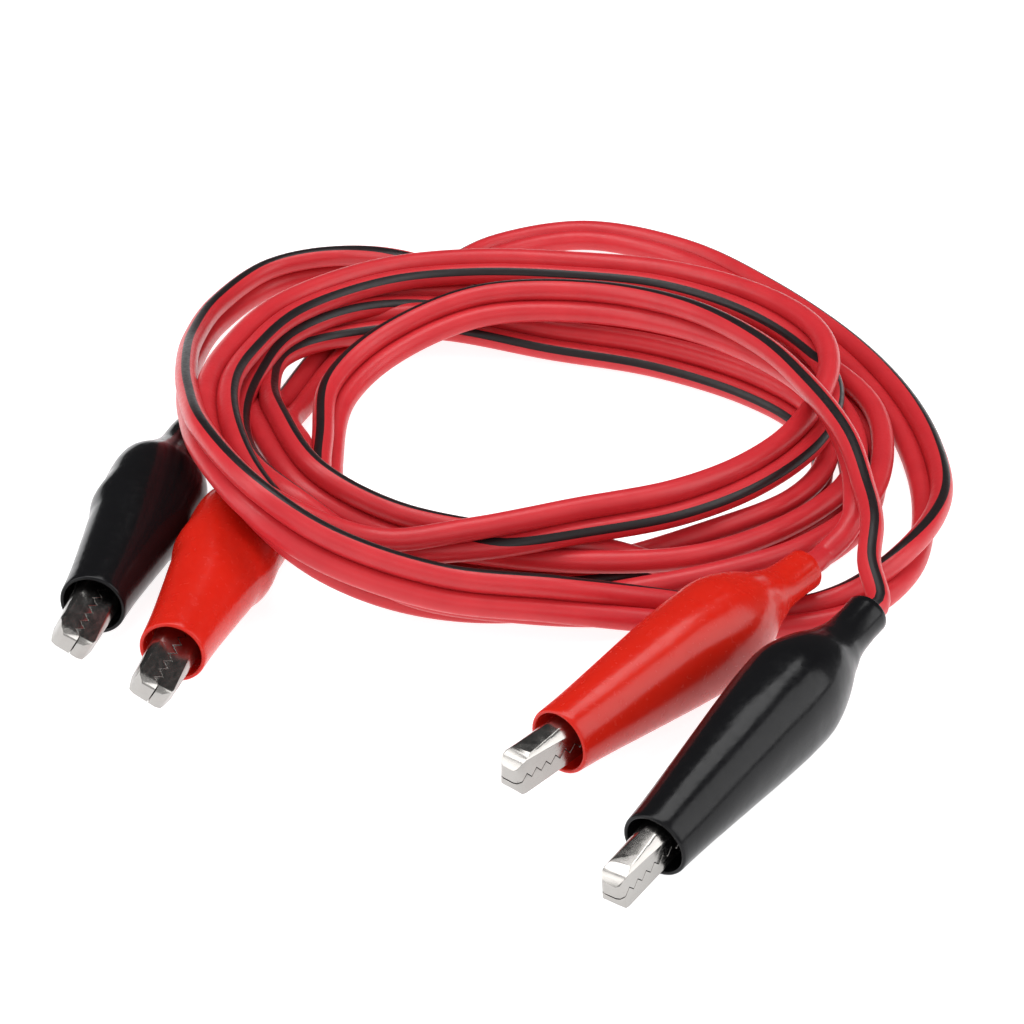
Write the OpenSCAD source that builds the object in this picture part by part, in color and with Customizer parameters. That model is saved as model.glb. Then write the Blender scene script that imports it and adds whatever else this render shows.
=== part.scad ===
// Double alligator clip lead: a flat two-core test lead, wound into loose
// loops, with a red and a black insulated alligator clip at each end.
// Each clip is drawn in its own frame: the hinge pin is the origin, +X runs
// towards the cable, Y is the hinge axis and the moving jaw is on +Z.

/* [Clip] */
// Length of the jaws from the hinge to the nose
jaw_len = 19; // [18.5:0.5:20]
// Width across the outside of the jaws at the hinge
jaw_w = 4.4; // [4.2:0.1:4.8]
// Thickness of the stamped sheet steel
sheet = 0.45; // [0.35:0.05:0.5]
// Height of one closed jaw, from the teeth to its back
jaw_h = 2.1; // [1.9:0.1:2.3]
// Number of teeth on each jaw
teeth = 7; // [5:1:9]
// Length of the finger levers behind the hinge
lever_len = 11; // [10:0.25:11]
// Height of a finger lever above the hinge
lever_z = 4.3; // [4:0.1:4.4]
// Radius of the hinge pin
pin_r = 0.7; // [0.6:0.05:0.8]
// Radial clearance of the moving jaw on the pin
pin_gap = 0.05; // [0.02:0.01:0.1]

/* [Boot] */
// Distance from the hinge to the mouth of the boot
mouth_x = 12; // [11:0.5:13]
// Distance from the hinge to the end of the boot's collar
collar_x = 25.5; // [25:0.5:27]
// Wall thickness of the vinyl boot
boot_wall = 0.55; // [0.4:0.05:0.6]
// Outer radius of the mouth
mouth_r = 3.3; // [3.2:0.1:3.6]
// Outer radius of the collar that grips the cable
collar_r = 2.1; // [1.9:0.1:2.3]

/* [Cable] */
// Outer diameter of one insulated core
core_d = 2.3; // [2.1:0.1:2.4]
// Distance between the two cores' centres in the flat pair
core_pitch = 2.4; // [2.4:0.1:2.6]

/* [Hidden] */

// Centre of the clips' footprint on the ground, which becomes the origin.
ground_centre = [-4.2, -26.5, 0];

// Each clip's place: hinge point, then roll about its length, nose-down pitch
// and heading, then the angle its collar bends and the plane it bends in.
right_red = [[12.1, -37.7, 5.3], [0, 0, 49], 0, 0];
right_black = [[19.4, -49.8, 4.7], [0, -6, 55], 0, 0];
left_red = [[-29.4, -20.6, 5], [-60, 0, 76], 10, 270];
left_black = [[-38.2, -12.6, 5], [-60, 0, 78], 50, 270];

tail_from = 18.6;
ear_r = 2.0;
inner_ear_r = 1.45;
fold_gap = 0.1;
spring_wire = 0.5;
spring_r = 1.2;
spring_turns = 3;
barrel_from = 13.6;
barrel_to = 18.4;
barrel_r = 1.35;
core_sides = 8;
facets = 32;

// Middle line of the flat pair of cores, from the right clips to the left
// ones, as [x, y, z, turn]. A turn of 0 has the striped core on top, and 90
// has it towards the inside of the loops.
ROUTE = [
    [34.6, -11, 8.9, -20], [34, -3, 10, 10], [31.3, 6, 10.7, 35], [26.5, 15.5, 10.2, 20],
    [18.5, 24.8, 9, -5], [8, 30.5, 7.8, -25], [-3.5, 31.3, 6.8, -35], [-13, 26.7, 4.9, -45],
    [-18.6, 18.8, 3.5, -42], [-19.4, 9, 2.8, -25], [-18.5, -0.5, 2.4, -40], [-12.5, -8.8, 1.4, -92],
    [-2.5, -13.6, 1.3, -95], [9, -13.2, 1.5, -100], [20.5, -9.2, 2.5, -170], [28.6, -3.2, 2.5, -185],
    [32.6, 4.5, 2.5, -190], [32, 14, 2.5, -205], [26, 21.5, 2.5, -215], [16, 27.6, 2.5, -225],
    [4.5, 31.2, 2.5, -235], [-8.5, 33.3, 3.7, -250], [-19.5, 30.6, 4, -262], [-26, 24.2, 4.6, -278],
    [-26.9, 14.5, 5.8, -290], [-24.9, 3, 8.7, -300], [-20.2, -7, 8.3, -320], [-12, -10.4, 5.4, -335],
    [-2, -13, 4.6, -300], [8.5, -14.6, 4.4, -272], [18.5, -13.6, 2.9, -205], [28, -8, 2.5, -185],
    [34.5, 0, 2.5, -185], [35.7, 9.2, 2.5, -200], [32.8, 18.8, 2.5, -212], [25.5, 26.4, 2.5, -220],
    [15.5, 31.4, 2.5, -228], [4.5, 34.9, 2.5, -238], [-7, 37.7, 3.9, -250], [-17.5, 33.6, 5.8, -260],
    [-25.5, 25.5, 6.6, -266], [-28.7, 14.5, 7.4, -266], [-29.3, 3.5, 8.8, -266], [-27.2, -7.3, 10.6, -262],
    [-21.8, -15.5, 11.2, -256], [-13.5, -16.9, 7.3, -215], [-4, -16.8, 7.7, -180], [6.5, -13.8, 7.9, -155],
    [16.5, -9.8, 7.5, -145], [24.7, -3.4, 7, -130], [30.8, 5, 6.7, -122], [33.9, 15, 6.9, -165],
    [32.4, 23.8, 7.1, -205], [26.5, 32, 6.8, -235], [17.5, 38.5, 6.2, -250], [7, 41.4, 5.8, -254],
    [-4.5, 40.6, 6.6, -253], [-15, 36, 7.8, -257], [-24.3, 27.2, 8.8, -263], [-28.9, 16, 10, -268],
    [-30.4, 5.5, 11.4, -275], [-28.9, -5.5, 12.1, -285], [-25.2, -14.8, 11.3, -290], [-18.6, -18.6, 6.9, -340],
    [-10.2, -19.9, 2.8, -395], [0, -21, 2, -415], [10.5, -19.8, 2.1, -480], [20, -17, 2.4, -530],
    [29, -12.3, 2.5, -540], [35.8, -4.4, 2.5, -545], [38.5, 6, 2.5, -555], [37.6, 16.5, 2.5, -565],
    [31.5, 26, 2.5, -575], [21.5, 33.2, 2.4, -588], [10, 37.7, 2.1, -605], [-2.5, 41.8, 2.9, -640],
    [-11.5, 44.6, 4.5, -680], [-20, 47.4, 3.2, -708], [-27.8, 44.8, 2.7, -720], [-33, 36, 3, -720],
    [-34.7, 25, 5, -720], [-34.4, 14, 8.1, -720], [-33.2, 3.2, 11, -718], [-30.7, -8.4, 13.7, -714],
    [-25.2, -18.6, 13.7, -706], [-17.5, -22.6, 10.2, -700], [-7, -23.8, 6.8, -698], [4, -23.8, 5.4, -698],
    [14, -22.4, 3.1, -660], [24, -21.8, 1.5, -635], [33, -19.6, 1.8, -650], [39.8, -12.6, 2.5, -710],
    [43.2, -2, 2.2, -765], [43.2, 9.5, 1.8, -785], [40.8, 21, 1.6, -793], [36, 32.5, 1.4, -800],
    [28.5, 44, 1.3, -805], [19.8, 53.2, 1.3, -808], [9, 57.8, 1.3, -810], [-1.2, 54.6, 1.3, -810],
    [-8, 47.2, 1.3, -810], [-14.6, 39, 1.3, -810], [-20, 29.7, 1.3, -810], [-23.6, 19.7, 1.3, -810]
];

// Where the two cores part before the right clips and after the left ones.
PLAIN_START = [[30.8, -15.6, 5], [33.2, -13.4, 6.4]];
STRIPED_START = [[34.6, -22.2, 8.6], [35.3, -16.8, 9.7]];
PLAIN_END = [[-23.6, 13.2, 2.6]];
STRIPED_END = [[-25.8, 17.4, 2.2]];

// ---------------------------------------------------------------- placing

function rot_x(a, p) = [p.x, p.y * cos(a) - p.z * sin(a), p.y * sin(a) + p.z * cos(a)];
function rot_y(a, p) = [p.x * cos(a) + p.z * sin(a), p.y, -p.x * sin(a) + p.z * cos(a)];
function rot_z(a, p) = [p.x * cos(a) - p.y * sin(a), p.x * sin(a) + p.y * cos(a), p.z];

// A point of a clip's own frame, moved to the clip's place.
function placed(clip, p) =
    clip[0] - ground_centre + rot_z(clip[1].z, rot_y(clip[1].y, rot_x(clip[1].x, p)));

module place(clip) {
    translate(clip[0] - ground_centre) rotate(clip[1]) children();
}

// ------------------------------------------------------------ swept forms

function unit(v) = v / norm(v);

function tangent(path, i) =
    unit(path[min(i + 1, len(path) - 1)] - path[max(i - 1, 0)]);

// One solid from a list of rings that all have the same number of points.
module skin(rings) {
    n = len(rings[0]);
    last = len(rings) - 1;
    polyhedron(
        points = [for (ring = rings) for (p = ring) p],
        faces = concat(
            [[for (j = [n - 1 : -1 : 0]) j]],
            [for (i = [0 : last - 1]) for (j = [0 : n - 1])
                [i * n + j, i * n + (j + 1) % n, (i + 1) * n + (j + 1) % n, (i + 1) * n + j]],
            [[for (j = [0 : n - 1]) last * n + j]]
        ),
        convexity = 10
    );
}

// A round tube about a path, with its first side turned towards a side list.
module tube(path, r, sides, side) {
    skin([for (i = [0 : len(path) - 1])
        let (t = tangent(path, i),
             a = unit(side[i] - (side[i] * t) * t),
             b = cross(t, a))
        [for (j = [0 : sides - 1])
            path[i] + r * (cos(-360 * j / sides) * a + sin(-360 * j / sides) * b)]]);
}

// ------------------------------------------------------------------- clip

// Middle line of the boot: straight to the end of the crimp, then bent.
function spine_turn(clip, x) = clip[2] * min(max(x - tail_from, 0), collar_x - tail_from)
    / (collar_x - tail_from);
function spine_ray(clip, a) = [cos(a), sin(a) * cos(clip[3]), sin(a) * sin(clip[3])];
function spine_step(clip, x) = x <= tail_from ? [x, 0, 0]
    : spine_step(clip, x - 0.5) + 0.5 * spine_ray(clip, spine_turn(clip, x - 0.25));

// Outside of the boot as [x, half width, half height, squareness].
BOOT = [
    [-mouth_x, mouth_r, mouth_r, 2], [-mouth_x + 3, mouth_r + 0.15, mouth_r + 0.2, 2],
    [-3, 3.8, 4.2, 2.2], [2, 4.1, 4.9, 2.6], [6, 4.2, 5.2, 3], [10.5, 4.1, 5.1, 3],
    [13.6, 3.1, 3.7, 2.4], [16.1, 2.4, 2.5, 2], [tail_from, collar_r, collar_r, 2],
    [tail_from + 2, collar_r, collar_r, 2], [tail_from + 4, collar_r, collar_r, 2],
    [collar_x, collar_r, collar_r, 2]
];

function power(v, n) = sign(v) * pow(abs(v), n);

function boot_ring(clip, x, half_y, half_z, square) =
    let (u = spine_ray(clip, spine_turn(clip, x)),
         v = unit([0, 1, 0] - u.y * u),
         w = cross(u, v),
         c = spine_step(clip, x))
    [for (j = [0 : facets - 1])
        c + half_y * power(cos(-360 * j / facets), 2 / square) * v
          + half_z * power(sin(-360 * j / facets), 2 / square) * w];

module boot(clip) {
    last = len(BOOT) - 1;
    difference() {
        skin([for (s = BOOT) boot_ring(clip, s[0], s[1], s[2], s[3])]);
        skin([for (i = [0 : last])
            let (s = BOOT[i], past = i == 0 ? -0.2 : i == last ? 0.2 : 0)
            boot_ring(clip, s[0] + past, s[1] - boot_wall, s[2] - boot_wall, s[3])]);
    }
}

// Zigzag where the two rows of teeth meet.
toothed_len = 8.75;
tooth = toothed_len / teeth;
tooth_h = 0.35;
tooth_gap = 0.06;
parting = [for (i = [0 : 2 * teeth]) [-jaw_len + 0.6 + i * tooth / 2, (i % 2 == 0 ? -1 : 1) * tooth_h]];

// Side view of the moving half, with its teeth along line.
module half_profile(line) {
    polygon(concat(
        line,
        [[-3, 0.6], [-2, -1], [2, -1], [3.2, 1.2], [6, lever_z - 1.1], [lever_len, lever_z - 0.9],
         [lever_len, lever_z], [6, lever_z], [3.5, lever_z - 0.6], [1, jaw_h + 0.7],
         [-3, jaw_h + 0.5], [-jaw_len + 2, jaw_h], [-jaw_len + 0.6, jaw_h - 0.4],
         [-jaw_len, jaw_h - 1.1], [-jaw_len, line[0].y]]
    ));
}

module upright(width) {
    rotate([90, 0, 0]) linear_extrude(width, center = true) children();
}

// Plan view of the jaw, narrowing to a rounded nose.
module jaw_plan(shrink) {
    w = jaw_w / 2 - shrink;
    outline = [[-jaw_len + shrink, 0.6 - shrink / 2], [-jaw_len + shrink * 0.8 + 0.15, 0.95 - shrink * 0.8],
        [-jaw_len + 0.7, 1.2 - shrink], [-13, 1.45 - shrink], [-9, 1.85 - shrink], [-4.5, w],
        [lever_len + 1, w]];
    translate([0, 0, -8]) linear_extrude(16)
        polygon(concat(outline, [for (i = [len(outline) - 1 : -1 : 0]) [outline[i].x, -outline[i].y]]));
}

// Rolled sheet: a tight roll over the jaw, and a wider one over the lever.
module rolled(shrink) {
    rotate([0, 90, 0]) {
        translate([0, 0, -jaw_len - 1]) scale([jaw_h + 0.25 - shrink, 1.95 - shrink, 1])
            cylinder(r = 1, h = jaw_len - 8, $fn = 48);
        translate([0, 0, -9.2]) cylinder(r = jaw_h + 0.65 - shrink, h = 10, $fn = 48);
        translate([0, 0, 0.5]) cylinder(r = lever_z + 0.1 - shrink, h = lever_len + 2, $fn = 64);
    }
}

module half_shell(line) {
    difference() {
        intersection() {
            upright(jaw_w) half_profile(line);
            jaw_plan(0);
            rolled(0);
        }
        intersection() {
            upright(jaw_w) translate([0, -3]) half_hollow();
            jaw_plan(sheet);
            rolled(sheet);
        }
    }
}

// Everything under the sheet, seen from the side.
module half_hollow() {
    polygon([[-jaw_len + sheet, -4], [lever_len + 1, -4], [lever_len + 1, lever_z - sheet + 3],
        [6, lever_z - sheet + 3], [3.5, lever_z - 0.6 - sheet + 3], [1, jaw_h + 0.7 - sheet + 3],
        [-3, jaw_h + 0.5 - sheet + 3], [-jaw_len + 2, jaw_h - sheet + 3],
        [-jaw_len + 0.8, jaw_h - 0.5 - sheet + 3]]);
}

module ears(half_width, r) {
    for (side = [-1, 1])
        translate([0, side * (half_width - sheet / 2), 0]) upright(sheet) {
            circle(r, $fn = 48);
            translate([-r, 0]) square([2 * r, jaw_h + 0.2]);
        }
}

module pin_hole(r) {
    rotate([90, 0, 0]) cylinder(r = r, h = 20, center = true, $fn = 48);
}

module upper_jaw() {
    difference() {
        union() {
            half_shell([for (p = parting) p + [0, tooth_gap]]);
            ears(jaw_w / 2, ear_r);
        }
        pin_hole(pin_r + pin_gap);
    }
}

// The fixed half is the same stamping turned over, narrowed at its ears.
module lower_jaw() {
    neck_w = jaw_w - 2 * sheet - 2 * fold_gap;
    difference() {
        union() {
            difference() {
                mirror([0, 0, 1]) half_shell([for (p = parting) [p.x, tooth_gap - p.y]]);
                for (side = [-1, 1])
                    translate([0, side * (neck_w / 2 + 5), 0]) cube([8.4, 10, 20], center = true);
            }
            mirror([0, 0, 1]) ears(neck_w / 2, inner_ear_r);
            upright(neck_w) neck_strip();
            tail();
        }
        pin_hole(pin_r);
    }
}

// Floor of the neck between the ears, below the spring.
module neck_strip() {
    polygon([[-4.6, -jaw_h - 0.42], [1, -jaw_h - 0.7], [4.6, -lever_z + 0.55], [4.6, -lever_z + 1],
        [1, -jaw_h - 0.25], [-4.6, -jaw_h + 0.03]]);
}

// Tongue that rises to the crimp barrel around the wire.
module tail() {
    upright(2.2) polygon([[lever_len - 0.5, -lever_z], [barrel_from + 0.4, -barrel_r],
        [barrel_from + 0.4, -barrel_r + sheet], [lever_len - 0.5, -lever_z + sheet]]);
    difference() {
        translate([barrel_from, 0, 0]) rotate([0, 90, 0])
            cylinder(r = barrel_r, h = barrel_to - barrel_from, $fn = 48);
        translate([barrel_from - 1, 0, 0]) rotate([0, 90, 0])
            cylinder(r = barrel_r - sheet, h = barrel_to - barrel_from + 2, $fn = 48);
        translate([barrel_from - 1, -0.35, 0]) cube([barrel_to - barrel_from + 2, 0.7, 3]);
    }
}

module pivot_pin() {
    half = jaw_w / 2 + 0.03;
    rotate([90, 0, 0]) {
        cylinder(r = pin_r, h = 2 * half + 0.4, center = true, $fn = 48);
        for (side = [0, 1]) mirror([0, 0, side]) translate([0, 0, half])
            cylinder(r1 = 1.2, r2 = 0.9, h = 0.35, $fn = 48);
    }
}

// Coil about the pin with one leg under each lever.
module spring() {
    step = 30;
    turn = spring_turns * 360;
    half = spring_turns * (spring_wire + 0.04) / 2;
    leg = [6.5, half, lever_z - sheet - spring_wire / 2 - 0.15];
    coil = [for (a = [0 : step : turn])
        [spring_r * sin(a), half * (1 - 2 * a / turn), spring_r * cos(a)]];
    path = concat([leg], coil, [[leg.x, -leg.y, -leg.z]]);
    tube(path, spring_wire / 2, 8, [for (p = path) [0, 1, 0]]);
}

strand_r = 0.21;

// Seven bare copper strands in the crimp.
module conductor() {
    for (k = [0 : 6]) rotate([k * 60, 0, 0])
        translate([barrel_from - 0.3, 0, k == 6 ? 0 : 2 * strand_r + 0.01]) rotate([0, 90, 0])
            cylinder(r = strand_r, h = tail_from + 0.2 - barrel_from, $fn = 24);
}

// Solder that fills the barrel round the strands.
module solder() {
    translate([barrel_from + 0.3, 0, 0]) rotate([0, 90, 0]) difference() {
        cylinder(r = barrel_r - sheet - 0.01, h = barrel_to - barrel_from - 0.6, $fn = 48);
        translate([0, 0, -1]) cylinder(r = 3 * strand_r + 0.02, h = 10, $fn = 48);
    }
}

module red_boot(clip) { color([0.84, 0.12, 0.08]) place(clip) boot(clip); }
module black_boot(clip) { color([0.08, 0.08, 0.09]) place(clip) boot(clip); }
module nickel(clip) { color([0.78, 0.77, 0.74]) place(clip) children(); }
module copper(clip) { color([0.72, 0.42, 0.25]) place(clip) children(); }

// ------------------------------------------------------------------ cable

function route_point(i) = [ROUTE[i][0], ROUTE[i][1], ROUTE[i][2]] - ground_centre;
route_line = [for (i = [0 : len(ROUTE) - 1]) route_point(i)];

// Direction from the plain core to the striped one at a route point.
function pair_side(i) =
    let (t = tangent(route_line, i), left = unit(cross([0, 0, 1], t)), up = cross(t, left))
    cos(ROUTE[i][3]) * up + sin(ROUTE[i][3]) * left;

// A core follows the pair between its two clips, and runs straight into
// each boot's collar as far as the crimp.
function collar_points(clip) = [for (x = [collar_x + 2, collar_x - 1, tail_from + 0.1])
    placed(clip, spine_step(clip, x))];

function reversed(list) = [for (i = [len(list) - 1 : -1 : 0]) list[i]];

function core_path(sign, from_clip, from_points, to_points, to_clip) = concat(
    reversed(collar_points(from_clip)),
    [for (p = from_points) p - ground_centre],
    [for (i = [0 : len(ROUTE) - 1]) route_line[i] + sign * core_pitch / 2 * pair_side(i)],
    [for (p = to_points) p - ground_centre],
    collar_points(to_clip));

module core(path) {
    tube(path, core_d / 2, core_sides, [for (i = [0 : len(path) - 1]) [0, 0, 1]]);
}

module plain_core() {
    color([0.82, 0.22, 0.24]) core(core_path(-1, right_red, PLAIN_START, PLAIN_END, left_red));
}

module striped_core() {
    color([0.55, 0.14, 0.16]) core(core_path(1, right_black, STRIPED_START, STRIPED_END, left_black));
}

plain_core();
striped_core();
red_boot(right_red);  // right_red_boot
nickel(right_red) lower_jaw();  // right_red_lower_jaw
nickel(right_red) upper_jaw();  // right_red_upper_jaw
nickel(right_red) pivot_pin();  // right_red_pivot_pin
nickel(right_red) spring();  // right_red_spring
copper(right_red) conductor();  // right_red_conductor
nickel(right_red) solder();  // right_red_solder
black_boot(right_black);  // right_black_boot
nickel(right_black) lower_jaw();  // right_black_lower_jaw
nickel(right_black) upper_jaw();  // right_black_upper_jaw
nickel(right_black) pivot_pin();  // right_black_pivot_pin
nickel(right_black) spring();  // right_black_spring
copper(right_black) conductor();  // right_black_conductor
nickel(right_black) solder();  // right_black_solder
red_boot(left_red);  // left_red_boot
nickel(left_red) lower_jaw();  // left_red_lower_jaw
nickel(left_red) upper_jaw();  // left_red_upper_jaw
nickel(left_red) pivot_pin();  // left_red_pivot_pin
nickel(left_red) spring();  // left_red_spring
copper(left_red) conductor();  // left_red_conductor
nickel(left_red) solder();  // left_red_solder
black_boot(left_black);  // left_black_boot
nickel(left_black) lower_jaw();  // left_black_lower_jaw
nickel(left_black) upper_jaw();  // left_black_upper_jaw
nickel(left_black) pivot_pin();  // left_black_pivot_pin
nickel(left_black) spring();  // left_black_spring
copper(left_black) conductor();  // left_black_conductor
nickel(left_black) solder();  // left_black_solder
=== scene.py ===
import math

import bpy
import numpy as np
from mathutils import Matrix, Vector


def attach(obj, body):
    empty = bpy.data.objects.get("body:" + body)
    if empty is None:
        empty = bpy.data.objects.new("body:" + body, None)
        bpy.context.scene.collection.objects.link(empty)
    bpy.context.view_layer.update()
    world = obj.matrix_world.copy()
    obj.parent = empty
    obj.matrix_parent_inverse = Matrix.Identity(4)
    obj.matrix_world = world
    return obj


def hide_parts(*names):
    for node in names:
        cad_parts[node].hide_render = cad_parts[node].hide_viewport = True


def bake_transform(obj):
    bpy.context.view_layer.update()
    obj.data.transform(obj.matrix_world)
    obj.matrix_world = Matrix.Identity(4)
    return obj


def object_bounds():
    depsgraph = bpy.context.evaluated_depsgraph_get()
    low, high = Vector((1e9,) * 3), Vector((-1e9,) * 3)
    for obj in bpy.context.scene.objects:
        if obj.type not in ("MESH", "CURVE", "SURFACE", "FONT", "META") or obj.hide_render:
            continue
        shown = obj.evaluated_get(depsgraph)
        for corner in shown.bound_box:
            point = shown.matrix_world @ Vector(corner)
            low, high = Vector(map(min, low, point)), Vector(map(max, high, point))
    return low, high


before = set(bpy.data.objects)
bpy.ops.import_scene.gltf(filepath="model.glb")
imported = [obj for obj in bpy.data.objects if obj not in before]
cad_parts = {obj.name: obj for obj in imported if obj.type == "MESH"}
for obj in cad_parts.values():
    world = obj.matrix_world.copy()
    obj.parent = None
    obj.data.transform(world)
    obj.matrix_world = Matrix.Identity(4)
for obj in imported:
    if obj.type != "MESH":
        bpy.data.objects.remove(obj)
cad_low, cad_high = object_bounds()

MM = 0.001

# ------------------------------------------------------------ placement
# The row frame's origin, in mm from the point that clips and cable are placed about.
GROUND_CENTRE = Vector((-4.2, -26.5, 0))

# Each clip: hinge point (mm), roll, pitch and heading (degrees), the angle
# its collar bends and the plane it bends in.
CLIPS = {
    "right_red": {"hinge": (12.1, -37.7, 5.3), "turn": (0, 0, 49), "bend": 0, "plane": 0},
    "right_black": {"hinge": (19.4, -49.8, 4.7), "turn": (0, -6, 55), "bend": 0, "plane": 0},
    "left_red": {"hinge": (-29.4, -20.6, 5), "turn": (-60, 0, 76), "bend": 10, "plane": 270},
    "left_black": {"hinge": (-38.2, -12.6, 5), "turn": (-60, 0, 78), "bend": 50, "plane": 270},
}

# Middle line of the flat pair of cores from the right clips to the left ones,
# in metres, with a turn in degrees: 0 has the striped core on top, and 90 has
# it towards the inside of the loops.
ROUTE = [
    (0.0346, -0.011, 0.0089, -20), (0.034, -0.003, 0.01, 10), (0.0313, 0.006, 0.0107, 35),
    (0.0265, 0.0155, 0.0102, 20), (0.0185, 0.0248, 0.009, -5), (0.008, 0.0305, 0.0078, -25),
    (-0.0035, 0.0313, 0.0068, -35), (-0.013, 0.0267, 0.0049, -45),
    (-0.0186, 0.0188, 0.0035, -42), (-0.0194, 0.009, 0.0028, -25),
    (-0.0185, -0.0005, 0.0024, -40), (-0.0125, -0.0088, 0.0014, -92),
    (-0.0025, -0.0136, 0.0013, -95), (0.009, -0.0132, 0.0015, -100),
    (0.0205, -0.0092, 0.0025, -170), (0.0286, -0.0032, 0.0025, -185),
    (0.0326, 0.0045, 0.0025, -190), (0.032, 0.014, 0.0025, -205), (0.026, 0.0215, 0.0025, -215),
    (0.016, 0.0276, 0.0025, -225), (0.0045, 0.0312, 0.0025, -235),
    (-0.0085, 0.0333, 0.0037, -250), (-0.0195, 0.0306, 0.004, -262),
    (-0.026, 0.0242, 0.0046, -278), (-0.0269, 0.0145, 0.0058, -290),
    (-0.0249, 0.003, 0.0087, -300), (-0.0202, -0.007, 0.0083, -320),
    (-0.012, -0.0104, 0.0054, -335), (-0.002, -0.013, 0.0046, -300),
    (0.0085, -0.0146, 0.0044, -272), (0.0185, -0.0136, 0.0029, -205),
    (0.028, -0.008, 0.0025, -185), (0.0345, 0, 0.0025, -185), (0.0357, 0.0092, 0.0025, -200),
    (0.0328, 0.0188, 0.0025, -212), (0.0255, 0.0264, 0.0025, -220),
    (0.0155, 0.0314, 0.0025, -228), (0.0045, 0.0349, 0.0025, -238),
    (-0.007, 0.0377, 0.0039, -250), (-0.0175, 0.0336, 0.0058, -260),
    (-0.0255, 0.0255, 0.0066, -266), (-0.0287, 0.0145, 0.0074, -266),
    (-0.0293, 0.0035, 0.0088, -266), (-0.0272, -0.0073, 0.0106, -262),
    (-0.0218, -0.0155, 0.0112, -256), (-0.0135, -0.0169, 0.0073, -215),
    (-0.004, -0.0168, 0.0077, -180), (0.0065, -0.0138, 0.0079, -155),
    (0.0165, -0.0098, 0.0075, -145), (0.0247, -0.0034, 0.007, -130),
    (0.0308, 0.005, 0.0067, -122), (0.0339, 0.015, 0.0069, -165),
    (0.0324, 0.0238, 0.0071, -205), (0.0265, 0.032, 0.0068, -235),
    (0.0175, 0.0385, 0.0062, -250), (0.007, 0.0414, 0.0058, -254),
    (-0.0045, 0.0406, 0.0066, -253), (-0.015, 0.036, 0.0078, -257),
    (-0.0243, 0.0272, 0.0088, -263), (-0.0289, 0.016, 0.01, -268),
    (-0.0304, 0.0055, 0.0114, -275), (-0.0289, -0.0055, 0.0121, -285),
    (-0.0252, -0.0148, 0.0113, -290), (-0.0186, -0.0186, 0.0069, -340),
    (-0.0102, -0.0199, 0.0028, -395), (0, -0.021, 0.002, -415), (0.0105, -0.0198, 0.0021, -480),
    (0.02, -0.017, 0.0024, -530), (0.029, -0.0123, 0.0025, -540),
    (0.0358, -0.0044, 0.0025, -545), (0.0385, 0.006, 0.0025, -555),
    (0.0376, 0.0165, 0.0025, -565), (0.0315, 0.026, 0.0025, -575),
    (0.0215, 0.0332, 0.0024, -588), (0.01, 0.0377, 0.0021, -605),
    (-0.0025, 0.0418, 0.0029, -640), (-0.0115, 0.0446, 0.0045, -680),
    (-0.02, 0.0474, 0.0032, -708), (-0.0278, 0.0448, 0.0027, -720),
    (-0.033, 0.036, 0.003, -720), (-0.0347, 0.025, 0.005, -720), (-0.0344, 0.014, 0.0081, -720),
    (-0.0332, 0.0032, 0.011, -718), (-0.0307, -0.0084, 0.0137, -714),
    (-0.0252, -0.0186, 0.0137, -706), (-0.0175, -0.0226, 0.0102, -700),
    (-0.007, -0.0238, 0.0068, -698), (0.004, -0.0238, 0.0054, -698),
    (0.014, -0.0224, 0.0031, -660), (0.024, -0.0218, 0.0015, -635),
    (0.033, -0.0196, 0.0018, -650), (0.0398, -0.0126, 0.0025, -710),
    (0.0432, -0.002, 0.0022, -765), (0.0432, 0.0095, 0.0018, -785),
    (0.0408, 0.021, 0.0016, -793), (0.036, 0.0325, 0.0014, -800), (0.0285, 0.044, 0.0013, -805),
    (0.0198, 0.0532, 0.0013, -808), (0.009, 0.0578, 0.0013, -810),
    (-0.0012, 0.0546, 0.0013, -810), (-0.008, 0.0472, 0.0013, -810),
    (-0.0146, 0.039, 0.0013, -810), (-0.02, 0.0297, 0.0013, -810),
    (-0.0236, 0.0197, 0.0013, -810),
]
PLAIN_START = [(0.0308, -0.0156, 0.005), (0.0332, -0.0134, 0.0064)]
STRIPED_START = [(0.0346, -0.0222, 0.0086), (0.0353, -0.0168, 0.0097)]
PLAIN_END = [(-0.0236, 0.0132, 0.0026)]
STRIPED_END = [(-0.0258, 0.0174, 0.0022)]

# Radius of a core and distance between the two cores' centres, in metres.
CORE_R = 1.17 * MM
CORE_PITCH = 2.4 * MM

# In mm behind the hinge: where a boot starts to bend, where its collar ends,
# and the points that a core runs through there, from outside to its hidden end.
# A boot's middle line is summed up in small steps where it bends.
TAIL_FROM = 18.6
COLLAR_X = 25.5
COLLAR_STOPS = (COLLAR_X + 2, COLLAR_X - 1, TAIL_FROM + 0.1)
SPINE_STEP = 0.1


def clip_matrix(clip):
    """Clip millimetres to row-frame metres."""
    roll, pitch, heading = (math.radians(a) for a in clip["turn"])
    turn = (
        Matrix.Rotation(heading, 4, "Z")
        @ Matrix.Rotation(pitch, 4, "Y")
        @ Matrix.Rotation(roll, 4, "X")
    )
    place = Matrix.Translation((Vector(clip["hinge"]) - GROUND_CENTRE) * MM)
    return place @ turn @ Matrix.Scale(MM, 4)


def spine(clip, x):
    """Point and direction of the boot's middle line, x mm behind the hinge."""
    bend, plane = math.radians(clip["bend"]), math.radians(clip["plane"])
    point = Vector((min(x, TAIL_FROM), 0, 0))
    bent = COLLAR_X - TAIL_FROM
    share = 0.0
    for i in range(max(0, round((x - TAIL_FROM) / SPINE_STEP))):
        share = min((i + 0.5) * SPINE_STEP, bent) / bent
        point += SPINE_STEP * ray(bend * share, plane)
    return point, ray(bend * share, plane)


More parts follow.
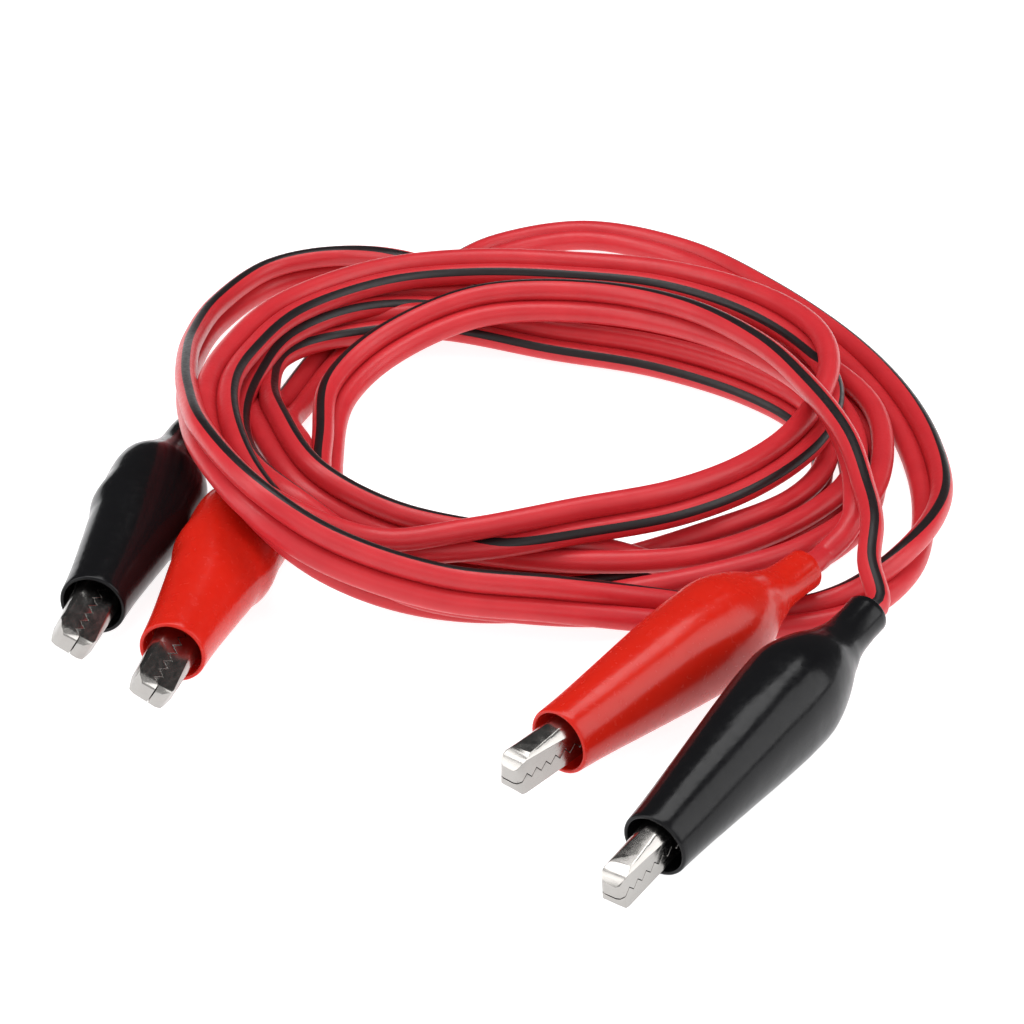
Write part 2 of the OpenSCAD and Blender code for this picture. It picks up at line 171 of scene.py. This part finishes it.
def ray(angle, plane):
    """Unit vector at an angle from the clip's +X, in a plane turned about +X."""
    return Vector(
        (math.cos(angle), math.sin(angle) * math.cos(plane), math.sin(angle) * math.sin(plane))
    )


# --------------------------------------------------------------- camera

CAMERA_RANGE = 0.354
CAMERA_ELEVATION = math.radians(33)
LENS_MM = 120
SENSOR_MM = 36


def make_camera():
    """Looks from in front and above at the point that clips and cable are placed about."""
    data = bpy.data.cameras.new("camera")
    data.lens = LENS_MM
    data.sensor_width = SENSOR_MM
    camera = bpy.data.objects.new("camera", data)
    bpy.context.scene.collection.objects.link(camera)
    back = Vector((0, -math.cos(CAMERA_ELEVATION), math.sin(CAMERA_ELEVATION)))
    camera.location = back * CAMERA_RANGE - GROUND_CENTRE * MM
    camera.rotation_euler = (math.pi / 2 - CAMERA_ELEVATION, 0, 0)
    bpy.context.scene.camera = camera


# ------------------------------------------------------------ materials


def new_material(name, colour, metallic=0.0):
    """A principled material and its nodes, links and shader."""
    material = bpy.data.materials.new(name)
    material.use_nodes = True
    nodes, links = material.node_tree.nodes, material.node_tree.links
    shader = nodes["Principled BSDF"]
    shader.inputs["Base Color"].default_value = (*colour, 1)
    shader.inputs["Metallic"].default_value = metallic
    return material, nodes, links, shader


def noise(nodes, links, scale, detail=3.0, stretch=(1, 1, 1)):
    """A noise texture in object coordinates, per metre."""
    place = nodes.new("ShaderNodeTexCoord")
    squeeze = nodes.new("ShaderNodeMapping")
    squeeze.inputs["Scale"].default_value = stretch
    texture = nodes.new("ShaderNodeTexNoise")
    texture.inputs["Scale"].default_value = scale
    texture.inputs["Detail"].default_value = detail
    links.new(place.outputs["Object"], squeeze.inputs["Vector"])
    links.new(squeeze.outputs["Vector"], texture.inputs["Vector"])
    return texture.outputs["Fac"]


NOISE_LOW = 0.3
NOISE_HIGH = 0.7


def spread(nodes, links, source, low, high):
    """Maps the usual range of a noise onto low to high."""
    change = nodes.new("ShaderNodeMapRange")
    change.inputs["From Min"].default_value = NOISE_LOW
    change.inputs["From Max"].default_value = NOISE_HIGH
    change.inputs["To Min"].default_value = low
    change.inputs["To Max"].default_value = high
    links.new(source, change.inputs["Value"])
    return change.outputs["Result"]


def bump(nodes, links, shader, height, strength, distance):
    """Fine relief; distance is in metres."""
    node = nodes.new("ShaderNodeBump")
    node.inputs["Strength"].default_value = strength
    node.inputs["Distance"].default_value = distance
    links.new(height, node.inputs["Height"])
    links.new(node.outputs["Normal"], shader.inputs["Normal"])


def two_tone(nodes, links, factor, first, second):
    """A colour that wanders between two."""
    mix = nodes.new("ShaderNodeMix")
    mix.data_type = "RGBA"
    mix.inputs["A"].default_value = (*first, 1)
    mix.inputs["B"].default_value = (*second, 1)
    links.new(factor, mix.inputs["Factor"])
    return mix.outputs["Result"]


def cable_material(name, colour, deep):
    """Satin PVC: cloudy colour, fine uneven gloss and a slightly wavy skin."""
    material, nodes, links, shader = new_material(name, colour)
    shader.inputs["Specular IOR Level"].default_value = 0.32
    shader.inputs["Subsurface Weight"].default_value = 0.10
    shader.inputs["Subsurface Radius"].default_value = (0.9, 0.25, 0.2)
    shader.inputs["Subsurface Scale"].default_value = 0.0008
    cloud = noise(nodes, links, 260, 4)
    links.new(two_tone(nodes, links, cloud, colour, deep), shader.inputs["Base Color"])
    fine = noise(nodes, links, 2600, 2)
    links.new(spread(nodes, links, fine, 0.28, 0.42), shader.inputs["Roughness"])
    bump(nodes, links, shader, noise(nodes, links, 900, 2), 0.12, 0.0001)
    return material


def vinyl_material(name, colour, deep, roughness, glow, shine):
    """Glossy dipped vinyl: dust specks in the gloss and soft waves in the skin."""
    material, nodes, links, shader = new_material(name, colour)
    shader.inputs["Specular IOR Level"].default_value = shine
    shader.inputs["Subsurface Weight"].default_value = glow
    shader.inputs["Subsurface Radius"].default_value = (1.0, 0.2, 0.1)
    shader.inputs["Subsurface Scale"].default_value = 0.0012
    cloud = noise(nodes, links, 180, 5)
    links.new(two_tone(nodes, links, cloud, colour, deep), shader.inputs["Base Color"])
    dust = noise(nodes, links, 1500, 4)
    gloss = spread(nodes, links, dust, roughness * 0.75, roughness * 1.5)
    links.new(gloss, shader.inputs["Roughness"])
    bump(nodes, links, shader, noise(nodes, links, 330, 2), 0.22, 0.0002)
    return material


def metal_material(name, colour, deep, low, high):
    """Plated or bare metal with drawn streaks; low and high are its roughness."""
    material, nodes, links, shader = new_material(name, colour, 1.0)
    cloud = noise(nodes, links, 420, 5)
    links.new(two_tone(nodes, links, cloud, colour, deep), shader.inputs["Base Color"])
    brushed = noise(nodes, links, 1100, 4, (1, 1, 5))
    links.new(spread(nodes, links, brushed, low, high), shader.inputs["Roughness"])
    bump(nodes, links, shader, noise(nodes, links, 2600, 3), 0.05, 0.00003)
    return material


MATERIALS = {
    "cable red": cable_material("cable red", (0.60, 0.032, 0.040), (0.46, 0.018, 0.025)),
    "cable stripe": cable_material("cable stripe", (0.009, 0.006, 0.007), (0.016, 0.010, 0.011)),
    "red boot": vinyl_material(
        "red boot", (0.60, 0.018, 0.008), (0.52, 0.011, 0.005), 0.20, 0.25, 0.28
    ),
    "black boot": vinyl_material(
        "black boot", (0.0045, 0.0045, 0.0050), (0.0080, 0.0080, 0.0090), 0.17, 0.0, 0.18
    ),
    "nickel": metal_material("nickel", (0.41, 0.395, 0.375), (0.35, 0.335, 0.32), 0.16, 0.26),
    "spring steel": metal_material(
        "spring steel", (0.50, 0.50, 0.50), (0.38, 0.38, 0.39), 0.25, 0.4
    ),
    "copper": metal_material("copper", (0.80, 0.36, 0.20), (0.62, 0.25, 0.13), 0.22, 0.4),
    "solder": metal_material("solder", (0.62, 0.62, 0.62), (0.48, 0.48, 0.49), 0.2, 0.35),
}


# --------------------------------------------------------------- meshes


def make_mesh(name, points, faces, materials, face_slots=None):
    """A smooth-shaded object; face_slots picks each face's material."""
    mesh = bpy.data.meshes.new(name)
    mesh.from_pydata([tuple(p) for p in points], [], faces)
    for material in materials:
        mesh.materials.append(material)
    if face_slots is not None:
        mesh.polygons.foreach_set("material_index", face_slots)
    mesh.polygons.foreach_set("use_smooth", [True] * len(faces))
    mesh.validate()
    mesh.update()
    obj = bpy.data.objects.new(name, mesh)
    bpy.context.scene.collection.objects.link(obj)
    return obj


def ring_faces(rings, sides, closed=False):
    """Quads that join rings of points, in order, and the last ring to the first if closed."""
    faces = []
    for i in range(rings if closed else rings - 1):
        here, there = i * sides, (i + 1) % rings * sides
        for j in range(sides):
            k = (j + 1) % sides
            faces.append((here + j, here + k, there + k, there + j))
    return faces


def end_caps(rings, sides):
    """The two end faces of rings of points."""
    last = (rings - 1) * sides
    return [tuple(reversed(range(sides))), tuple(range(last, last + sides))]


def unit_rows(rows):
    return rows / np.linalg.norm(rows, axis=1)[:, None]


def square_to(rows, along):
    """Unit rows, with their part along a line taken out."""
    return unit_rows(rows - along * np.sum(rows * along, axis=1)[:, None])


# ---------------------------------------------------------------- cable

CORE_STEP = 0.9 * MM
CORE_SIDES = 32
SPLINE_PARTS = 24
# The web: half its width and the angle it fades out over, and how far it
# reaches past the middle of the pair, so that the two halves meet.
WEB_HALF = math.radians(13)
WEB_FADE = math.radians(11)
WEB_REACH = 0.01 * MM
# The stripe: half its width, its pull upward against 1 away from the plain
# core, and over how many rings its direction is smoothed.
STRIPE_HALF = math.radians(24)
STRIPE_RISE = 1.15
STRIPE_SMOOTH = 15


def pair_sides(points, turns):
    """Unit vectors from the plain core to the striped one along the pair."""
    along = unit_rows(np.gradient(points, axis=0))
    left = unit_rows(np.cross([0, 0, 1], along))
    up = np.cross(along, left)
    turns = np.radians(turns)[:, None]
    return np.cos(turns) * up + np.sin(turns) * left


def spline(points, step):
    """Catmull-Rom curve through the points, resampled evenly."""
    ends = np.vstack([2 * points[0] - points[1], points, 2 * points[-1] - points[-2]])
    fine = []
    for a, b, c, d in zip(ends, ends[1:], ends[2:], ends[3:]):
        for t in np.linspace(0, 1, SPLINE_PARTS, endpoint=False):
            fine.append(
                0.5 * (2 * b + (c - a) * t + (2 * a - 5 * b + 4 * c - d) * t**2
                       + (3 * b - a - 3 * c + d) * t**3)
            )
    fine = np.array(fine + [points[-1]])
    gaps = np.linalg.norm(np.diff(fine[:, :3], axis=0), axis=1)
    reach = np.concatenate([[0], np.cumsum(gaps)])
    wanted = np.linspace(0, reach[-1], round(reach[-1] / step))
    return np.stack([np.interp(wanted, reach, column) for column in fine.T], axis=1)


def collar_points(clip):
    """Where a core runs through a boot's collar, from just outside it to its hidden end."""
    matrix = clip_matrix(clip)
    return [matrix @ spine(clip, x)[0] for x in COLLAR_STOPS]


def core_line(sign, start, first, last, end):
    """Rows of one core's points: place, direction of its neighbour, and 1 where they are joined."""
    shift = np.array(GROUND_CENTRE) * MM
    route = np.array([r[:3] for r in ROUTE]) - shift
    sides = pair_sides(route, [r[3] for r in ROUTE])
    rows = [[*p, 0, 0, 0, 0] for p in reversed(collar_points(start))]
    rows += [[*(np.array(p) - shift), *(-sign * sides[0]), 0] for p in first]
    rows += [
        [*(p + sign * CORE_PITCH / 2 * s), *(-sign * s), 1] for p, s in zip(route, sides)
    ]
    rows += [[*(np.array(p) - shift), *(-sign * sides[-1]), 0] for p in last]
    rows += [[*p, 0, 0, 0, 0] for p in collar_points(end)]
    rows = np.array(rows)
    hidden = len(COLLAR_STOPS)
    rows[:hidden, 3:6] = rows[hidden, 3:6]
    rows[-hidden:, 3:6] = rows[-hidden - 1, 3:6]
    return rows


CORE_ANGLES = np.linspace(-math.pi, math.pi, CORE_SIDES, endpoint=False)


def core_radius(angles, joined):
    """Radius at angles from the neighbour's direction: round, with half of a narrow web."""
    angles = np.abs((angles + math.pi) % (2 * math.pi) - math.pi)
    web = CORE_PITCH / 2 / np.cos(np.minimum(angles, WEB_HALF)) + WEB_REACH
    fade = np.clip((angles - WEB_HALF) / WEB_FADE, 0, 1)
    return CORE_R + (web - CORE_R) * (1 - fade) * joined


def stripe_side(toward, along):
    """The stripe's direction: away from the neighbour and upward, changing slowly."""
    up = square_to(np.tile([0.0, 0.0, 1.0], (len(along), 1)), along)
    wanted = STRIPE_RISE * up - toward
    kernel = np.ones(STRIPE_SMOOTH) / STRIPE_SMOOTH
    padded = np.pad(wanted, ((STRIPE_SMOOTH // 2, STRIPE_SMOOTH // 2), (0, 0)), mode="edge")
    smooth = np.stack([np.convolve(column, kernel, mode="valid") for column in padded.T], axis=1)
    return square_to(smooth, along)


def core_skin(rows, stripe):
    """Points round one core, ring by ring, at angles from the stripe or else the neighbour."""
    centres, joined = rows[:, :3], np.clip(rows[:, 6], 0, 1)
    along = unit_rows(np.gradient(centres, axis=0))
    toward = square_to(rows[:, 3:6], along)
    facing = stripe_side(toward, along) if stripe else toward
    across = np.cross(along, facing)
    web_at = np.arctan2(np.sum(toward * across, axis=1), np.sum(toward * facing, axis=1))
    points = []
    for c, f, a, web, share in zip(centres, facing, across, web_at, joined):
        radius = core_radius(CORE_ANGLES - web, share)
        points.extend(
            c + r * (math.cos(v) * f + math.sin(v) * a) for v, r in zip(CORE_ANGLES, radius)
        )
    return points


def make_core(name, node, sign, start, first, last, end, stripe):
    rows = spline(core_line(sign, start, first, last, end), CORE_STEP)
    faces = ring_faces(len(rows), CORE_SIDES)
    slots = [0] * len(faces)
    materials = [MATERIALS["cable red"]]
    if stripe:
        middles = CORE_ANGLES + math.pi / CORE_SIDES
        slots = [int(abs(v) < STRIPE_HALF) for v in middles] * (len(rows) - 1)
        materials.append(MATERIALS["cable stripe"])
    caps = end_caps(len(rows), CORE_SIDES)
    slots += [0] * len(caps)
    obj = make_mesh(name, core_skin(rows, stripe), faces + caps, materials, slots)
    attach(obj, "lead")
    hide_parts(node)


make_camera()
make_core("plain_core_cable", "plain_core", -1, CLIPS["right_red"], PLAIN_START, PLAIN_END,
          CLIPS["left_red"], False)
make_core("striped_core_cable", "striped_core", 1, CLIPS["right_black"], STRIPED_START, STRIPED_END,
          CLIPS["left_black"], True)


# ---------------------------------------------------------------- boots

BOOT_SIDES = 64
BOOT_WALL = 0.42
# Outside of a boot at rest: mm behind the hinge, half width, half height,
# squareness (2 is an ellipse), and how far the lever pads push its top and
# bottom out. The right boots stay wide further back than the left ones.
BOOT_FORMS = {
    "right": [
        (-12.0, 3.25, 3.30, 2.0, 0.0),
        (-9.0, 3.45, 3.55, 2.0, 0.0),
        (-3.0, 3.90, 4.20, 2.1, 0.0),
        (1.0, 4.20, 4.60, 2.2, 0.0),
        (5.0, 4.50, 4.95, 2.3, 0.10),
        (9.0, 4.75, 5.10, 2.4, 0.10),
        (12.5, 4.70, 5.05, 2.4, 0.10),
        (15.5, 4.05, 4.35, 2.2, 0.0),
        (18.4, 3.00, 3.05, 2.0, 0.0),
        (20.8, 2.32, 2.32, 2.0, 0.0),
        (23.0, 2.12, 2.12, 2.0, 0.0),
        (25.5, 2.12, 2.12, 2.0, 0.0),
    ],
    "left": [
        (-12.0, 3.30, 3.30, 2.0, 0.0),
        (-9.0, 3.45, 3.50, 2.0, 0.0),
        (-3.0, 3.80, 4.15, 2.1, 0.0),
        (1.0, 4.05, 4.60, 2.3, 0.0),
        (3.5, 4.15, 4.95, 2.5, 0.25),
        (6.5, 4.20, 4.95, 2.7, 0.10),
        (9.5, 4.15, 4.90, 2.7, 0.20),
        (11.5, 3.85, 4.60, 2.5, 0.15),
        (13.8, 3.05, 3.50, 2.2, 0.0),
        (16.2, 2.35, 2.50, 2.0, 0.0),
        (18.6, 2.10, 2.10, 2.0, 0.0),
        (22.0, 2.08, 2.08, 2.0, 0.0),
        (25.5, 2.12, 2.12, 2.0, 0.0),
    ],
}
OUTER_RINGS = 76
INNER_RINGS = 60
# A higher power keeps the lever pads' push closer to the top and bottom.
PUSH_POWER = 6
# The rounded rims, from outside to inside: mm in from the boot's end and from
# its outside. The plain outside starts RIM_R mm in from each end.
RIM_R = 0.22
MOUTH_RIM = [(0.06, 0.05), (0, 0.15), (0, 0.28), (0.07, 0.38)]
COLLAR_RIM = [(0.06, 0.05), (0, 0.15), (0, 0.32)]


def form_at(form, x):
    """The boot's form at x, smooth through the listed sections."""
    table = np.array(form)
    xs, rest = table[:, 0], table[:, 1:]
    slopes = np.gradient(rest, xs, axis=0)
    i = int(np.clip(np.searchsorted(xs, x) - 1, 0, len(xs) - 2))
    h = xs[i + 1] - xs[i]
    t = (x - xs[i]) / h
    return (
        (2 * t**3 - 3 * t**2 + 1) * rest[i]
        + (t**3 - 2 * t**2 + t) * h * slopes[i]
        + (3 * t**2 - 2 * t**3) * rest[i + 1]
        + (t**3 - t**2) * h * slopes[i + 1]
    )


def boot_ring(clip, form, x, inset):
    """Points round a boot, x mm behind the hinge and inset mm inside its outside."""
    inside = min(max(x, form[0][0]), COLLAR_X)
    half_y, half_z, square, push = (float(v) for v in form_at(form, inside))
    centre, along = spine(clip, x)
    if x < TAIL_FROM:
        along = Vector((1, 0, 0))
    side = (Vector((0, 1, 0)) - along.y * along).normalized()
    up = along.cross(side)
    ring = []
    for j in range(BOOT_SIDES):
        angle = 2 * math.pi * j / BOOT_SIDES
        c, s = math.cos(angle), math.sin(angle)
        y = math.copysign(abs(c) ** (2 / square), c) * (half_y - inset)
        z = math.copysign(abs(s) ** (2 / square), s) * (half_z - inset)
        z += math.copysign(push * abs(s) ** PUSH_POWER, s)
        ring.append(centre + y * side + z * up)
    return ring


def make_boot(name, clip, form, material):
    """A boot's skin as one loop of rings: mouth, outside, collar, inside and back."""
    front, back = form[0][0], COLLAR_X
    outer_x = np.linspace(front + RIM_R, back - RIM_R, OUTER_RINGS)
    inner_x = np.linspace(back, front + RIM_R, INNER_RINGS)
    outer = [boot_ring(clip, form, x, 0) for x in outer_x]
    inner = [boot_ring(clip, form, x, BOOT_WALL) for x in inner_x]
    mouth = [boot_ring(clip, form, front + far, inset) for far, inset in MOUTH_RIM]
    collar = [boot_ring(clip, form, back - far, inset) for far, inset in COLLAR_RIM]
    rings = mouth[1::-1] + outer + collar + inner + mouth[:1:-1]
    matrix = clip_matrix(clip)
    points = [matrix @ p for ring in rings for p in ring]
    faces = ring_faces(len(rings), BOOT_SIDES, closed=True)
    obj = make_mesh(name, points, faces, [material])
    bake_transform(obj)
    return obj


for side in ("right", "left"):
    for colour in ("red", "black"):
        key = f"{side}_{colour}"
        boot = make_boot(f"{key}_boot_cover", CLIPS[key], BOOT_FORMS[side],
                         MATERIALS[f"{colour} boot"])
        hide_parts(f"{key}_boot")


# --------------------------------------------------------------- springs

# In mm: radius of the coil's middle line, radius of the wire, half the coil's
# length along the pin, and x and z of the upper leg's end.
SPRING_R = 1.2
SPRING_WIRE_R = 0.25
SPRING_HALF = 0.81
SPRING_LEG = (6.5, 3.45)
SPRING_TURNS = 2.5
SPRING_RINGS = 50
SPRING_SIDES = 12


def spring_line():
    """Middle line in clip mm: down the upper leg, round the pin and out along the lower leg."""
    angles = np.linspace(0, SPRING_TURNS * 2 * math.pi, SPRING_RINGS)
    coil = [
        (-SPRING_R * math.sin(a), SPRING_HALF * (1 - 2 * a / angles[-1]), SPRING_R * math.cos(a))
        for a in angles
    ]
    leg_x, leg_z = SPRING_LEG
    return np.array([(leg_x, SPRING_HALF, leg_z), *coil, (leg_x, -SPRING_HALF, -leg_z)])


def make_spring(key, clip):
    line = spring_line()
    along = unit_rows(np.gradient(line, axis=0))
    side = square_to(np.tile([0.0, 1.0, 0.0], (len(line), 1)), along)
    over = np.cross(along, side)
    matrix = clip_matrix(clip)
    points = []
    for centre, u, v in zip(line, side, over):
        for a in np.linspace(0, 2 * math.pi, SPRING_SIDES, endpoint=False):
            out = math.cos(a) * u + math.sin(a) * v
            points.append(matrix @ Vector(centre + SPRING_WIRE_R * out))
    faces = ring_faces(len(line), SPRING_SIDES) + end_caps(len(line), SPRING_SIDES)
    obj = make_mesh(f"{key}_torsion_spring", points, faces, [MATERIALS["spring steel"]])
    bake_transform(obj)
    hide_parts(f"{key}_spring")


for key, clip in CLIPS.items():
    make_spring(key, clip)


# ---------------------------------------------------------- metal pieces

FINISH = {
    "lower_jaw": "nickel",
    "upper_jaw": "nickel",
    "pivot_pin": "nickel",
    "conductor": "copper",
    "solder": "solder",
}
# Stamped edges: width of their bevel and the reach of the weld before it (m),
# and the angle from which an edge is bevelled.
EDGE_WIDTH = 0.00012
WELD_REACH = 0.000002
EDGE_ANGLE = math.radians(35)


def dress_node(obj, material):
    obj.data.materials.clear()
    obj.data.materials.append(material)


def soften_edges(obj):
    """Rounds the stamped edges a little and smooths the rolled faces between them."""
    for face in obj.data.polygons:
        face.use_smooth = True
    weld = obj.modifiers.new("weld", "WELD")
    weld.merge_threshold = WELD_REACH
    bevel = obj.modifiers.new("soft edges", "BEVEL")
    bevel.width = EDGE_WIDTH
    bevel.segments = 2
    bevel.limit_method = "ANGLE"
    bevel.angle_limit = EDGE_ANGLE
    bevel.use_clamp_overlap = True
    shade = obj.modifiers.new("even shading", "WEIGHTED_NORMAL")
    shade.keep_sharp = True


for name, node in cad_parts.items():
    for kind, finish in FINISH.items():
        if name.endswith(kind):
            dress_node(node, MATERIALS[finish])
            if kind.endswith("jaw"):
                soften_edges(node)


# ------------------------------------------------------- floor and light

# Half the floor's side and its gap below the lead, in metres.
FLOOR_REACH = 1.6
FLOOR_GAP = 0.00002
# The studio's dark part: its direction, the dot products with it between which
# the walls darken, and the strength of the walls and of the dark part.
DARK_TOWARD = (0, 0.86, 0.5)
DARK_FROM = 0.20
DARK_TO = 0.70
WALL_STRENGTH = 0.60
DARK_STRENGTH = 0.05


def make_floor():
    """A pale floor that glows, so that it looks white and shadows on it stay faint."""
    mesh = bpy.data.meshes.new("floor")
    r = FLOOR_REACH
    mesh.from_pydata([(-r, -r, 0), (r, -r, 0), (r, r, 0), (-r, r, 0)], [], [(0, 1, 2, 3)])
    floor = bpy.data.objects.new("floor", mesh)
    bpy.context.scene.collection.objects.link(floor)
    floor.location.z = min(0.0, cad_low.z) - FLOOR_GAP
    material, _, _, shader = new_material("floor white", (0.52, 0.52, 0.53))
    shader.inputs["Roughness"].default_value = 0.7
    shader.inputs["Emission Color"].default_value = (1, 1, 1, 1)
    shader.inputs["Emission Strength"].default_value = 0.88
    mesh.materials.append(material)


def make_light(name, place, size, power):
    """An area light that points at the origin."""
    data = bpy.data.lights.new(name, "AREA")
    data.shape = "RECTANGLE"
    data.size, data.size_y = size
    data.energy = power
    light = bpy.data.objects.new(name, data)
    bpy.context.scene.collection.objects.link(light)
    light.location = place
    light.rotation_euler = (-Vector(place)).to_track_quat("-Z", "Y").to_euler()


def make_world():
    """White studio walls with a dark part behind and above the lead."""
    world = bpy.data.worlds.new("studio")
    world.use_nodes = True
    nodes, links = world.node_tree.nodes, world.node_tree.links
    place = nodes.new("ShaderNodeTexCoord")
    toward = nodes.new("ShaderNodeVectorMath")
    toward.operation = "DOT_PRODUCT"
    toward.inputs[1].default_value = DARK_TOWARD
    links.new(place.outputs["Generated"], toward.inputs[0])
    share = nodes.new("ShaderNodeMapRange")
    share.inputs["From Min"].default_value = DARK_FROM
    share.inputs["From Max"].default_value = DARK_TO
    share.inputs["To Min"].default_value = WALL_STRENGTH
    share.inputs["To Max"].default_value = DARK_STRENGTH
    links.new(toward.outputs["Value"], share.inputs["Value"])
    background = nodes["Background"]
    background.inputs["Color"].default_value = (1, 1, 1, 1)
    links.new(share.outputs["Result"], background.inputs["Strength"])
    bpy.context.scene.world = world


make_floor()
make_world()
make_light("top softbox", (-0.05, 0.12, 0.55), (0.60, 0.30), 2.4)
make_light("left softbox", (-0.5, -0.1, 0.3), (0.35, 0.5), 1.3)
make_light("right softbox", (0.5, -0.05, 0.3), (0.35, 0.5), 1.3)
make_light("front fill", (0.1, -0.6, 0.35), (0.5, 0.3), 0.5)
bpy.context.scene.view_settings.view_transform = "Standard"
